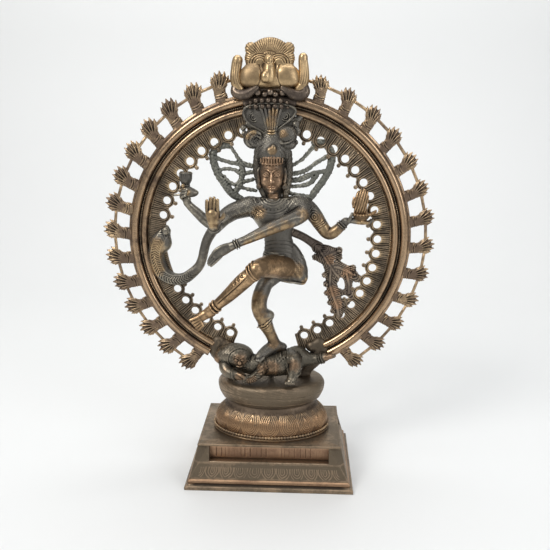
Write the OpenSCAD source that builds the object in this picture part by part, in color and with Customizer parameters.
// Dancing figure inside a ring of flames, standing on a dwarf and a lotus pedestal.
// A brass temple-style statue built from cast pieces that are brazed, pinned and bolted together.
// Units are millimetres, +Z is up and the front faces -Y.
// The origin is on the floor, under the middle of the flame ring.

/* [Pedestal] */
// Width of the foot plinth
base_w = 233; // [200:1:260]
// Depth of the foot plinth
base_d = 171; // [150:1:200]
// Width of the top slab
slab_w = 199; // [170:1:220]
// Depth of the top slab
slab_d = 134; // [110:1:160]
// Height of the top slab's upper face
slab_z = 61; // [50:1:80]
// Width of the facet at the top of each corner
facet = 14; // [4:1:16]
// Sideways shift of the pedestal from the ring's centre line
base_x = 4; // [0:0.5:8]
// Wall thickness of the hollow cast pedestal
wall = 4; // [3:0.5:8]

/* [Lotus] */
// Half width of the bell's beaded rim
bell_r = 84; // [70:1:95]
// Half width of the cushion
cushion_r = 77; // [60:1:90]
// Depth of both ovals as a share of their width
oval = 0.7; // [0.6:0.01:0.9]

/* [Flame ring] */
// Height of the ring's centre
ring_z = 340; // [300:1:380]
// Outer radius of the solid band
ring_r = 194; // [170:1:220]
// Inner radius of the solid band
band_in = 168; // [150:1:180]
// Thickness of the solid band
band_t = 10; // [6:1:16]
// Thickness of the pierced lace
lace_t = 4; // [3:0.5:6]
// Radius of the circle through the lace's holes
lace_r = 149; // [140:1:155]
// Radius of one hole in the lace
hole_r = 5.3; // [4:0.1:6.5]
// Length of one flame beyond the band
flame_h = 34; // [30:1:45]
// Thickness of one flame
flame_t = 5; // [3:0.5:8]
// Lean of the flames towards the ring's top, in degrees
lean = 23; // [0:1:30]
// Distance of the link rods from the band
rod_out = 21; // [10:1:24]

/* [Tie bolt] */
// Diameter of the hidden stud
stud_d = 8; // [6:1:12]

/* [Hidden] */
$fn = 48;
brass = [0.62, 0.47, 0.24];
dark = [0.30, 0.30, 0.26];
warm = [0.52, 0.36, 0.18];
steel = [0.55, 0.55, 0.57];
bell_z = slab_z + 5;
cushion_z = 104;
cushion_top = 138;
left_flames = [for (k = [0 : 13]) 108.8 + 10.1 * k];
right_flames = [for (k = [0 : 12]) 70.5 - 10.7 * k];
left_holes = [for (k = [0 : 8]) 103.3 + 8.1 * k];
low_left_holes = [for (k = [0 : 5]) 209.8 + 7.7 * k];
right_holes = [for (k = [0 : 18]) 70.3 - 7.8 * k];
lace_holes = concat(left_holes, low_left_holes, right_holes);

// A point on the smooth curve from b to c, with neighbours a and d.
function curve_point(a, b, c, d, t) =
    b + (c - a) * t / 2
    + (2 * a - 5 * b + 4 * c - d) * t * t / 2
    + (3 * b - a - 3 * c + d) * t * t * t / 2;

// The points with extra ones between them along a smooth curve.
function smooth(points, steps) = [
    for (i = [0 : len(points) - 2])
        for (s = [0 : steps - 1])
            curve_point(
                points[max(i - 1, 0)], points[i], points[i + 1],
                points[min(i + 2, len(points) - 1)], s / steps
            ),
    points[len(points) - 1]
];

module ball(p, sides)
    translate([p[0], p[1], p[2]])
        sphere(r = p[3], $fn = sides);

// A rounded limb along points [x, y, z, radius].
module limb(points, steps = 2, sides = 10) {
    path = smooth(points, steps);
    for (i = [0 : len(path) - 2])
        hull() {
            ball(path[i], sides);
            ball(path[i + 1], sides);
        }
}

module oval_disc(s)
    translate([s[0], s[1], s[2]])
        scale([s[3], s[4], 1])
            cylinder(r = 1, h = 0.2, $fn = 20);

// A body through level ovals [x, y, z, half width, half depth].
module body(ovals)
    for (i = [0 : len(ovals) - 2])
        hull() {
            oval_disc(ovals[i]);
            oval_disc(ovals[i + 1]);
        }

// Flattens what it holds towards the plane y = at.
module flatten(share, at)
    translate([0, at, 0])
        scale([1, share, 1])
            translate([0, -at, 0])
                children();

// Stands a flat drawing up in the ring's plane, with its own Z towards the front.
module upright()
    translate([0, 0, ring_z])
        rotate([90, 0, 0])
            children();

// Places what is drawn along +Y at angle a round the ring.
module on_ring(a)
    rotate([0, 0, a - 90])
        children();

// A turned ring segment from angle a to angle b.
module ring_arc(a, b)
    rotate([0, 0, a])
        rotate_extrude(angle = b - a, $fn = 144)
            children();

module block(w, d, z0, z1)
    translate([base_x - w / 2, -d / 2, z0])
        cube([w, d, z1 - z0]);

// ---------- pedestal ----------

module foot_plinth()
    color(dark)
        difference() {
            union() {
                block(base_w, base_d, 0, 5);
                block(base_w - 5, base_d - 5, 5, 10);
                block(base_w - 11, base_d - 11, 10, 14);
            }
            block(base_w - 24, base_d - 24, -1, 15);
        }

// Four sloping sides between two rectangles.
module slope(w0, d0, z0, w1, d1, z1)
    hull() {
        block(w0, d0, z0, z0 + 0.1);
        block(w1, d1, z1 - 0.1, z1);
    }

// A rectangle in plan with its corners cut off.
module cut_corners(w, d, c)
    polygon([
        [-w / 2 + c, -d / 2], [w / 2 - c, -d / 2], [w / 2, -d / 2 + c], [w / 2, d / 2 - c],
        [w / 2 - c, d / 2], [-w / 2 + c, d / 2], [-w / 2, d / 2 - c], [-w / 2, -d / 2 + c]
    ]);

// The pedestal's outer form: four slopes, with a facet that widens up each corner.
module tapered_block()
    hull() {
        block(base_w - 13, base_d - 13, 14, 14.1);
        translate([base_x, 0, slab_z - 3.1])
            linear_extrude(0.1)
                cut_corners(slab_w - 1, slab_d - 1, facet);
    }

module petal_band()
    color(dark)
        difference() {
            intersection() {
                tapered_block();
                block(base_w, base_d, 13, 37);
            }
            slope(base_w - 21, base_d - 21, 13, slab_w - 4, slab_d - 4, 33);
            block(slab_w - 24, slab_d - 24, 30, 40);
        }

module corner_piers()
    color(dark)
        intersection() {
            tapered_block();
            for (sx = [-1, 1])
                for (sy = [-1, 1])
                    translate([base_x + sx * slab_w / 2, sy * slab_d / 2, 37 + slab_z / 2])
                        cube([33, 33, slab_z], center = true);
        }

module waist_panel()
    color(warm)
        difference() {
            union() {
                block(slab_w - 16, slab_d - 16, 37, slab_z - 3);
                for (k = [-14 : 14])
                    translate([base_x + k * 5.4 - 1, -slab_d / 2 + 6.5, 40])
                        cube([2, slab_d - 13, 15]);
            }
            block(slab_w - 24, slab_d - 24, 36, slab_z);
            for (sx = [-1, 1])
                for (sy = [-1, 1])
                    translate([base_x + sx * (slab_w / 2 - 8.5), sy * (slab_d / 2 - 8.5), slab_z / 2])
                        cube([16.2, 16.2, slab_z], center = true);
        }

module top_slab()
    color(dark)
        difference() {
            block(slab_w, slab_d, slab_z - 3, slab_z);
            translate([base_x, 0, 0])
                cylinder(d = stud_d + 0.5, h = slab_z + 1);
        }

// ---------- lotus ----------

// An upright oval form through levels [half width, height].
module oval_form(levels)
    for (i = [0 : len(levels) - 2])
        hull()
            for (p = [levels[i], levels[i + 1]])
                translate([base_x, 0, p[1]])
                    scale([1, oval, 1])
                        cylinder(r = p[0], h = 0.05, $fn = 48);

module lotus_bell()
    color(warm)
        difference() {
            oval_form([
                [bell_r, slab_z], [bell_r, bell_z - 1], [bell_r - 3, bell_z + 1],
                [bell_r - 2, bell_z + 6], [bell_r - 3, bell_z + 12], [bell_r - 7, bell_z + 20],
                [bell_r - 13, bell_z + 27], [bell_r - 19, bell_z + 33], [bell_r - 22, cushion_z]
            ]);
            oval_form([
                [bell_r - 9, slab_z - 1], [bell_r - 9, bell_z + 8], [bell_r - 20, bell_z + 24],
                [bell_r - 30, cushion_z - wall]
            ]);
            translate([base_x, 0, cushion_z - 10])
                cylinder(d = stud_d + 0.5, h = 20);
        }

module bead_rim()
    color(brass)
        for (k = [0 : 71])
            translate([
                base_x + (bell_r - 0.5) * cos(k * 5),
                (bell_r - 0.5) * oval * sin(k * 5),
                bell_z + 1
            ])
                sphere(r = 2, $fn = 16);

module lotus_cushion()
    color(dark)
        difference() {
            oval_form([
                [cushion_r - 15, cushion_z], [cushion_r - 10, cushion_z + 4],
                [cushion_r - 4, cushion_z + 10], [cushion_r - 1, cushion_z + 16],
                [cushion_r, cushion_z + 22], [cushion_r - 1, cushion_z + 27],
                [cushion_r - 4, cushion_z + 31], [cushion_r - 10, cushion_top - 1],
                [cushion_r - 16, cushion_top]
            ]);
            oval_form([
                [cushion_r - 30, cushion_z - 1], [cushion_r - 24, cushion_z + 8],
                [cushion_r - 14, cushion_z + 22], [cushion_r - 24, cushion_top - 6]
            ]);
            translate([base_x, 0, cushion_z - 1])
                cylinder(d = stud_d + 0.5, h = 50);
        }

// ---------- hidden tie bolt ----------

module tie_stud()
    color(steel)
        translate([base_x, 0, 44])
            cylinder(d = stud_d, h = cushion_top + 10 - 44);

module tie_washer()
    color(steel)
        translate([base_x, 0, slab_z - 5])
            difference() {
                cylinder(d = 24, h = 2);
                translate([0, 0, -1])
                    cylinder(d = stud_d + 0.4, h = 4);
            }

module tie_nut()
    color(steel)
        translate([base_x, 0, slab_z - 12])
            difference() {
                cylinder(d = 15, h = 7, $fn = 6);
                translate([0, 0, -1])
                    cylinder(d = stud_d, h = 9);
            }

// ---------- dwarf under the dancer ----------

module dwarf_body()
    color(dark)
        limb([
            [-32, -14, 160, 13], [-14, -16, 158, 15], [8, -16, 158, 16], [28, -12, 162, 16],
            [42, -6, 166, 13]
        ], 3, 12);

module dwarf_head()
    color(dark) {
        limb([
            [-66, -8, 174, 12], [-56, -13, 174, 16], [-46, -15, 174, 17], [-38, -17, 173, 15],
            [-31, -18, 173, 10]
        ], 3, 12);
        limb([[-74, -10, 172, 7], [-71, -16, 168, 7]], 2, 10);
    }

module dwarf_arms()
    color(warm) {
        limb([[-48, -18, 158, 10], [-50, -32, 150, 8], [-40, -42, 147, 7], [-26, -46, 148, 6]]);
        limb([[-14, -24, 160, 8], [-14, -36, 160, 7], [-20, -44, 154, 6]], 3);
    }

module dwarf_legs()
    color(warm) {
        limb([[28, -18, 162, 12], [36, -28, 170, 10], [38, -36, 164, 8], [34, -42, 152, 7],
            [27, -48, 146, 6]]);
        limb([[44, -6, 164, 11], [60, -8, 164, 9], [72, -12, 170, 7], [84, -16, 173, 5]]);
    }

module dwarf_snake()
    color(brass)
        limb([[-32, -48, 148, 4], [-20, -52, 149, 4.5], [-12, -50, 156, 4], [-8, -44, 162, 4],
            [-14, -38, 167, 3]], 3, 8);

// ---------- ring of flames ----------

module ring_band()
    color(brass)
        upright()
            ring_arc(-63, 243) {
                translate([band_in, -band_t / 2])
                    square([ring_r - band_in, band_t]);
                translate([ring_r - 9, band_t / 2 - 1])
                    circle(r = 5.2, $fn = 48);
                translate([band_in + 5, band_t / 2 - 1])
                    circle(r = 4.5, $fn = 48);
            }

module ring_beading()
    color(dark)
        upright() {
            ring_arc(-62, 242)
                translate([ring_r - 15.5, band_t / 2])
                    circle(r = 1.4, $fn = 24);
            ring_arc(-62, 242)
                translate([band_in - 2, lace_t / 2])
                    circle(r = 1.6, $fn = 24);
        }

// The flat shape of the lace: a band with a round lobe and a bud at each hole.
module lace_shape()
    difference() {
        union() {
            difference() {
                circle(r = band_in);
                circle(r = lace_r - 5.5);
                polygon([[0, 0], [60, -224], [-71.5, -220]]);
            }
            for (a = lace_holes)
                on_ring(a) {
                    translate([0, lace_r])
                        circle(r = 10.5);
                    translate([0, lace_r - 12.5])
                        circle(r = 3);
                }
        }
        for (a = lace_holes)
            on_ring(a)
                translate([0, lace_r])
                    circle(r = hole_r);
    }

module lace_band()
    color(dark)
        upright()
            linear_extrude(lace_t, center = true)
                lace_shape();

// Outline of finger k of a flame, in a fan about a point low on the wrist; side is 1 or -1.
function finger(k, tip, side) = [
    for (p = [[-6, 15], [-5.5, tip - 5], [-1, tip], [1, tip], [5.5, tip - 5], [6, 15]])
        let (t = lean + 12.5 * (k - 2) + p[0])
            [side * (p[1] * sin(t) - 2.5), 6 + p[1] * cos(t)]
];

module flame(side)
    translate([0, ring_r, -flame_t / 2])
        linear_extrude(flame_t)
            polygon(concat(
                [[side * 7, -0.5], [side * -7, -0.5], [side * -6.5, 5], [side * -6.5, 13]],
                finger(0, flame_h - 12, side), finger(1, flame_h - 8, side),
                finger(2, flame_h - 6, side), finger(3, flame_h - 6, side), finger(4, flame_h - 9, side),
                [[side * 9, 11], [side * 7.5, 5]]
            ));

module flames()
    color(brass)
        upright() {
            for (a = left_flames)
                on_ring(a)
                    flame(1);
            for (a = right_flames)
                on_ring(a)
                    flame(-1);
        }

// One rod between two flames that are step degrees apart, starting at angle a.
module link_rod(a, step) {
    chord = 2 * (ring_r + rod_out) * sin(step / 2);
    on_ring(a + step / 2)
        translate([0, (ring_r + rod_out) * cos(step / 2), 0])
            rotate([0, 90, 0])
                cylinder(r = 2.2, h = chord - 6, center = true, $fn = 24);
}

module link_rods()
    color(brass)
        upright() {
            for (k = [0 : 12])
                link_rod(left_flames[k], 10.1);
            for (k = [1 : 12])
                link_rod(right_flames[k], 10.7);
            link_rod(101.4, 7.4);
            link_rod(70.5, 7.6);
        }

module ring_socket()
    rotate([90, 0, 0])
        linear_extrude(14, center = true)
            polygon([[44, 137], [58, 137], [62, 158], [86, 172], [82, 182], [72, 198], [54, 196]]);

module ring_sockets()
    color(dark)
        for (sx = [-1, 1])
            difference() {
                scale([sx, 1, 1])
                    ring_socket();
                upright()
                    ring_arc(-63.2, 243.2)
                        translate([100, -20])
                            square([120, 40]);
                translate([sx * 76, -20, 178])
                    rotate([-90, 0, 0])
                        cylinder(d = 4, h = 40);
            }

module ring_pins()
    color(steel)
        for (sx = [-1, 1])
            translate([sx * 76, 8, 178])
                rotate([90, 0, 0])
                    cylinder(d = 4, h = 16);

// ---------- monster-face finial ----------

module finial_saddle()
    color(dark)
        upright()
            ring_arc(76.5, 103.5)
                polygon([
                    [ring_r + 0.2, -7], [ring_r + 10, -7], [ring_r + 10, 16],
                    [ring_r - 8, 16], [ring_r - 8, 10.6], [ring_r + 0.2, 10.6]
                ]);

module finial_face()
    color(brass) {
        body([
            [1, -6, 541, 30, 14], [1, -7, 544, 36, 17], [1, -8, 551, 38, 18], [1, -8, 558, 35, 17],
            [1, -7, 563, 27, 13], [1, -6, 570, 29, 13], [1, -6, 584, 31, 14], [1, -6, 592, 29, 13],
            [1, -6, 598, 18, 10], [1, -6, 601, 9, 6]
        ]);
        for (sx = [-1, 1])
            limb([[1 + sx * 20, -18, 575, 6], [1 + sx * 12, -20, 573, 6], [1 + sx * 8, -22, 565, 5]]);
        limb([[1, -20, 571, 5], [1, -23, 563, 4], [1, -26, 553, 5], [1, -25, 546, 4]]);
    }

module finial_horns()
    color(brass) {
        limb([[-40, -7, 545, 5], [-43, -8, 548, 6], [-43, -7, 560, 6.5], [-42, -6, 572, 7.5]]);
        limb([[40, -7, 545, 5], [43, -8, 550, 6], [43, -7, 564, 6.5], [43, -6, 576, 7.5]]);
    }

module pearl_row(r, count, step)
    for (k = [0 : count - 1])
        on_ring(91 + (k - (count - 1) / 2) * step)
            translate([0, r, 15])
                sphere(r = 3.4, $fn = 24);

module pearl_rows()
    color(dark)
        upright() {
            pearl_row(ring_r - 5, 9, 2.2);
            pearl_row(ring_r - 12, 7, 2.3);
            ring_arc(82, 100)
                translate([ring_r - 14, band_t / 2])
                    square([13, 9]);
        }

// ---------- dancer ----------

module standing_leg()
    color(warm) {
        limb([
            [17, -6, 296, 14], [8, -9, 288, 12], [-3, -15, 279, 11.5], [-9, -24, 267, 11],
            [-12, -27, 252, 11], [-10, -26, 240, 10.5], [-5, -22, 227, 10], [0, -18, 214, 9],
            [6, -14, 200, 8], [9, -12, 188, 8.5]
        ], 2, 12);
        limb([[18, -9, 185, 7], [8, -13, 186, 9], [-4, -21, 181, 8.5], [-14, -29, 175, 6]]);
    }

module raised_leg()
    color(warm) {
        limb([
            [22, -8, 302, 17], [6, -26, 306, 15], [-12, -50, 308, 11.5], [-24, -56, 299, 10.5],
            [-38, -56, 285, 10], [-54, -54, 270, 8.5], [-70, -50, 255, 7]
        ], 2, 12);
        limb([[-76, -48, 247, 7], [-86, -50, 241, 6.5], [-95, -52, 235, 5]]);
        for (k = [0 : 4])
            limb([[-94 + k * 2, -52, 240 - k * 3, 2.6], [-102 + k * 3, -53, 237 - k * 3.4, 2]], 1, 8);
    }

// A band round a limb at p, leaning by the angles in tilt.
module band(p, tilt, r, h)
    translate(p)
        rotate(tilt)
            cylinder(r = r, h = h, center = true);

module anklets()
    color(brass) {
        band([-68, -51, 257], [0, 45, 0], 9.5, 4);
        band([-73, -50, 252], [0, 45, 0], 9, 3);
        band([-19, -54, 304], [0, 50, 0], 12, 4);
        band([-5, -22, 226], [10, -22, 0], 11.5, 4);
        band([6, -14, 199], [10, -22, 0], 9.5, 3);
    }

module hip_cloth()
    color(dark) {
        body([
            [18, -6, 290, 22, 13], [16, -7, 298, 26, 16], [14, -7, 306, 26, 17],
            [13, -6, 314, 22, 15], [11, -6, 320, 18, 13]
        ]);
        limb([
            [30, -4, 330, 7], [37, -4, 320, 9], [43, -5, 306, 10], [47, -6, 293, 8], [48, -8, 283, 5]
        ], 2, 12);
    }

module belt()
    color(brass)
        for (z = [318, 324])
            translate([11, -6, z])
                scale([1.25, 1, 1])
                    rotate_extrude()
                        translate([14.5, 0])
                            circle(r = 2, $fn = 24);

module torso()
    color(dark) {
        body([
            [10, -6, 318, 18, 13], [9, -6, 326, 16, 12], [9, -6, 334, 16, 12],
            [9, -6, 344, 19, 13], [9, -6, 356, 24, 15], [8, -6, 368, 29, 16],
            [8, -5, 380, 32, 15], [8, -5, 388, 26, 13], [8, -5, 394, 12, 11]
        ]);
        limb([[-26, -5, 384, 12], [8, -5, 386, 12], [42, -5, 387, 12]]);
    }

module necklaces()
    color(brass)
        for (k = [0 : 3])
            translate([8, -6, 391 - k * 5])
                rotate([28, 0, 0])
                    rotate_extrude()
                        translate([11 + k * 4, 0])
                            circle(r = 1.8, $fn = 24);

// Four straight fingers side by side from a palm, rising by lift.
module raised_fingers(x, y, z, lift)
    for (k = [0 : 3])
        limb([[x + k * 4.6, y, z, 2.6], [x + k * 4.4 + 0.4, y, z + lift - abs(k - 1.4) * 2, 2.1]], 2, 8);

module front_right_arm()
    color(dark) {
        limb([
            [-30, -7, 384, 13], [-46, -9, 379, 12], [-59, -14, 370, 11], [-68, -24, 361, 9.5],
            [-70, -38, 361, 8], [-70, -45, 366, 7.5]
        ]);
        limb([[-70, -47, 372, 8], [-71, -49, 381, 8]]);
        raised_fingers(-78, -49, 383, 17);
        limb([[-62, -49, 374, 4], [-57, -51, 384, 2.5]]);
    }

module rear_right_arm()
    color(dark) {
        limb([
            [-44, 4, 376, 10], [-62, 6, 364, 8.5], [-80, 5, 357, 7.5], [-94, 3, 369, 7],
            [-106, 1, 381, 6.5], [-115, -2, 390, 6.5]
        ]);
        limb([[-113, -3, 394, 7], [-108, -5, 401, 5]]);
    }

module front_left_arm()
    color(dark) {
        limb([
            [42, -9, 387, 12], [44, -16, 379, 11], [34, -26, 371, 10], [14, -33, 363, 9],
            [-8, -38, 354, 8], [-28, -43, 345, 6.5], [-46, -46, 337, 5.5]
        ]);
        flatten(0.6, -49)
            limb([[-50, -48, 335, 6], [-62, -49, 330, 7], [-70, -50, 322, 5], [-79, -51, 312, 2.5]]);
    }

module rear_left_arm()
    color(dark) {
        limb([
            [48, -1, 386, 12], [60, -2, 374, 10.5], [70, -3, 359, 9], [79, -5, 347, 8.5],
            [92, -9, 355, 7], [105, -12, 368, 5.5]
        ]);
        flatten(0.7, -13)
            limb([[107, -13, 369, 5], [120, -14, 369, 5], [136, -12, 367, 4], [142, -6, 368, 3.5]]);
    }

module armlets()
    color(brass) {
        band([65, -2, 367], [0, -35, 0], 12.5, 8);
        band([101, -11, 364], [0, 50, 0], 7.5, 4);
        band([-112, -1, 387], [0, -45, 0], 8.2, 4);
        band([-40, -45, 340], [20, 65, 0], 7.8, 4);
        band([-70, -42, 364], [50, 0, 0], 10, 4);
    }

module drum()
    color(warm)
        translate([-114, -4, 414])
            rotate([0, 12, 0])
                rotate_extrude()
                    polygon([[0, -14], [11, -14], [11, -11], [4.5, 0], [11, 11], [11, 14], [0, 14]]);

module fire_bowl()
    color(dark)
        translate([125, -14, 371])
            rotate_extrude()
                polygon([[0, 0], [7, 0], [13, 5], [14.5, 9], [12.5, 9], [10, 5], [0, 4]]);

module hand_flame()
    color(warm)
        limb([
            [125, -14, 380, 9.5], [124, -14, 388, 11], [125, -13, 396, 10.5], [128, -12, 404, 8],
            [131, -10, 411, 4]
        ], 3, 12);

module head()
    color(warm) {
        limb([[8, -5, 388, 9], [6, -7, 402, 8]], 3);
        limb([
            [4, -15, 405, 8], [4, -12, 414, 13.5], [4, -11, 426, 16.5], [4, -10, 438, 18],
            [4, -9, 448, 17.5]
        ], 2, 12);
        limb([[8, 2, 396, 14], [8, 2, 414, 17], [6, 1, 434, 19]], 2, 12);
        limb([[4, -27, 428, 2], [4, -30, 420, 2.6]], 2, 8);
        for (sx = [-1, 1])
            limb([[4 + sx * 17, -10, 430, 3.5], [4 + sx * 18, -10, 420, 3]], 2, 8);
    }

module crown()
    color(dark) {
        body([
            [4, -9, 446, 18, 17], [4, -9, 450, 21, 18], [4, -9, 458, 22, 17],
            [4, -9, 466, 22, 15], [4, -9, 474, 16, 12], [3, -9, 482, 10, 9]
        ]);
        for (sx = [-1, 1])
            limb([[4 + sx * 18, -12, 450, 5], [4 + sx * 21, -12, 462, 5], [4 + sx * 15, -14, 470, 5]]);
    }

module cobra_hood()
    color(dark) {
        translate([0, -9, 0])
            rotate([90, 0, 0])
                linear_extrude(6)
                    polygon([
                        [-8, 470], [-26, 484], [-35, 498], [-32, 510], [-20, 517], [0, 520],
                        [20, 518], [31, 511], [34, 498], [24, 484], [12, 470]
                    ]);
        for (k = [-2.5 : 2.5])
            translate([1 + k * 1.8, -15, 476])
                rotate([0, k * 6, 0])
                    cylinder(r1 = 1.8, r2 = 3.2, h = 34);
    }

module hair_buns()
    color(dark) {
        translate([-19, -14, 474])
            sphere(r = 11);
        translate([26, -14, 481])
            sphere(r = 10);
    }

// A strand of hair lock through points [x, z].
module strand(points, r = 2.6)
    limb([for (p = points) [p[0], 4, p[1], r]], 1, 8);

module hair_wing_left()
    color(dark) {
        strand([[-54, 464], [-66, 462], [-75, 457], [-76, 446], [-71, 430], [-63, 416], [-53, 403],
            [-44, 396], [-34, 390]], 4);
        strand([[-54, 463], [-38, 442], [-22, 438]]);
        strand([[-76, 450], [-55, 443], [-36, 436]]);
        strand([[-71, 430], [-52, 432], [-38, 428], [-22, 430]]);
        strand([[-38, 442], [-35, 428], [-39, 414], [-48, 400]], 3);
        strand([[-62, 424], [-52, 414], [-39, 414], [-22, 419]]);
        strand([[-42, 410], [-32, 408], [-18, 405]]);
    }

module hair_wing_right()
    color(dark) {
        strand([[60, 468], [72, 468], [83, 459], [84, 446], [80, 432], [73, 419], [63, 405],
            [55, 392]], 4);
        strand([[28, 439], [43, 446], [60, 462]]);
        strand([[28, 427], [47, 431], [60, 442], [80, 452]]);
        strand([[28, 419], [47, 423], [62, 430], [80, 432]]);
        strand([[30, 411], [50, 414], [60, 417], [64, 427]]);
        strand([[28, 401], [43, 399], [56, 396]], 3);
    }

module sash()
    color(dark) {
        limb([[28, -4, 350, 5.5], [43, -3, 340, 6], [58, -2, 332, 6.5], [70, -1, 322, 8]], 2, 8);
        flatten(0.4, 0) {
            limb([
                [70, 0, 322, 8], [80, 0, 311, 12], [88, 0, 296, 11], [90, 0, 280, 8],
                [88, 0, 266, 6], [94, 0, 250, 8], [96, 0, 236, 6], [90, 0, 228, 4]
            ], 2, 10);
            limb([[82, 0, 316, 8], [95, 0, 321, 7], [98, 0, 306, 9], [110, 0, 298, 8]], 2, 8);
            limb([[104, 0, 298, 9], [113, 0, 286, 9], [113, 0, 274, 7], [110, 0, 262, 5]], 2, 8);
            limb([[66, 0, 313, 5], [78, 0, 306, 5]], 1, 8);
            limb([[116, 0, 292, 5], [126, 0, 288, 5]], 1, 8);
            limb([[94, 0, 258, 5], [104, 0, 264, 4], [114, 0, 268, 4]], 1, 8);
            limb([[96, 0, 244, 6], [108, 0, 244, 5]], 1, 8);
        }
    }

module serpent()
    color(dark)
        flatten(0.8, -2)
            limb([
                [-74, -12, 352, 8], [-84, -7, 341, 7], [-90, -3, 322, 6.5], [-96, -2, 303, 6.5],
                [-110, -2, 288, 7], [-128, -2, 280, 8], [-146, -3, 286, 10.5], [-155, -4, 300, 11],
                [-157, -4, 316, 11], [-153, -5, 330, 11], [-146, -5, 341, 10], [-142, -5, 350, 6]
            ], 2, 10);

foot_plinth();
petal_band();
corner_piers();
waist_panel();
top_slab();
lotus_bell();
bead_rim();
lotus_cushion();
tie_stud();
tie_washer();
tie_nut();
dwarf_body();
dwarf_head();
dwarf_arms();
dwarf_legs();
dwarf_snake();
ring_band();
ring_beading();
lace_band();
flames();
link_rods();
ring_sockets();
ring_pins();
finial_saddle();
finial_face();
finial_horns();
pearl_rows();
standing_leg();
raised_leg();
anklets();
hip_cloth();
belt();
torso();
necklaces();
front_right_arm();
rear_right_arm();
front_left_arm();
rear_left_arm();
armlets();
drum();
fire_bowl();
hand_flame();
head();
crown();
cobra_hood();
hair_buns();
hair_wing_left();
hair_wing_right();
sash();
serpent();
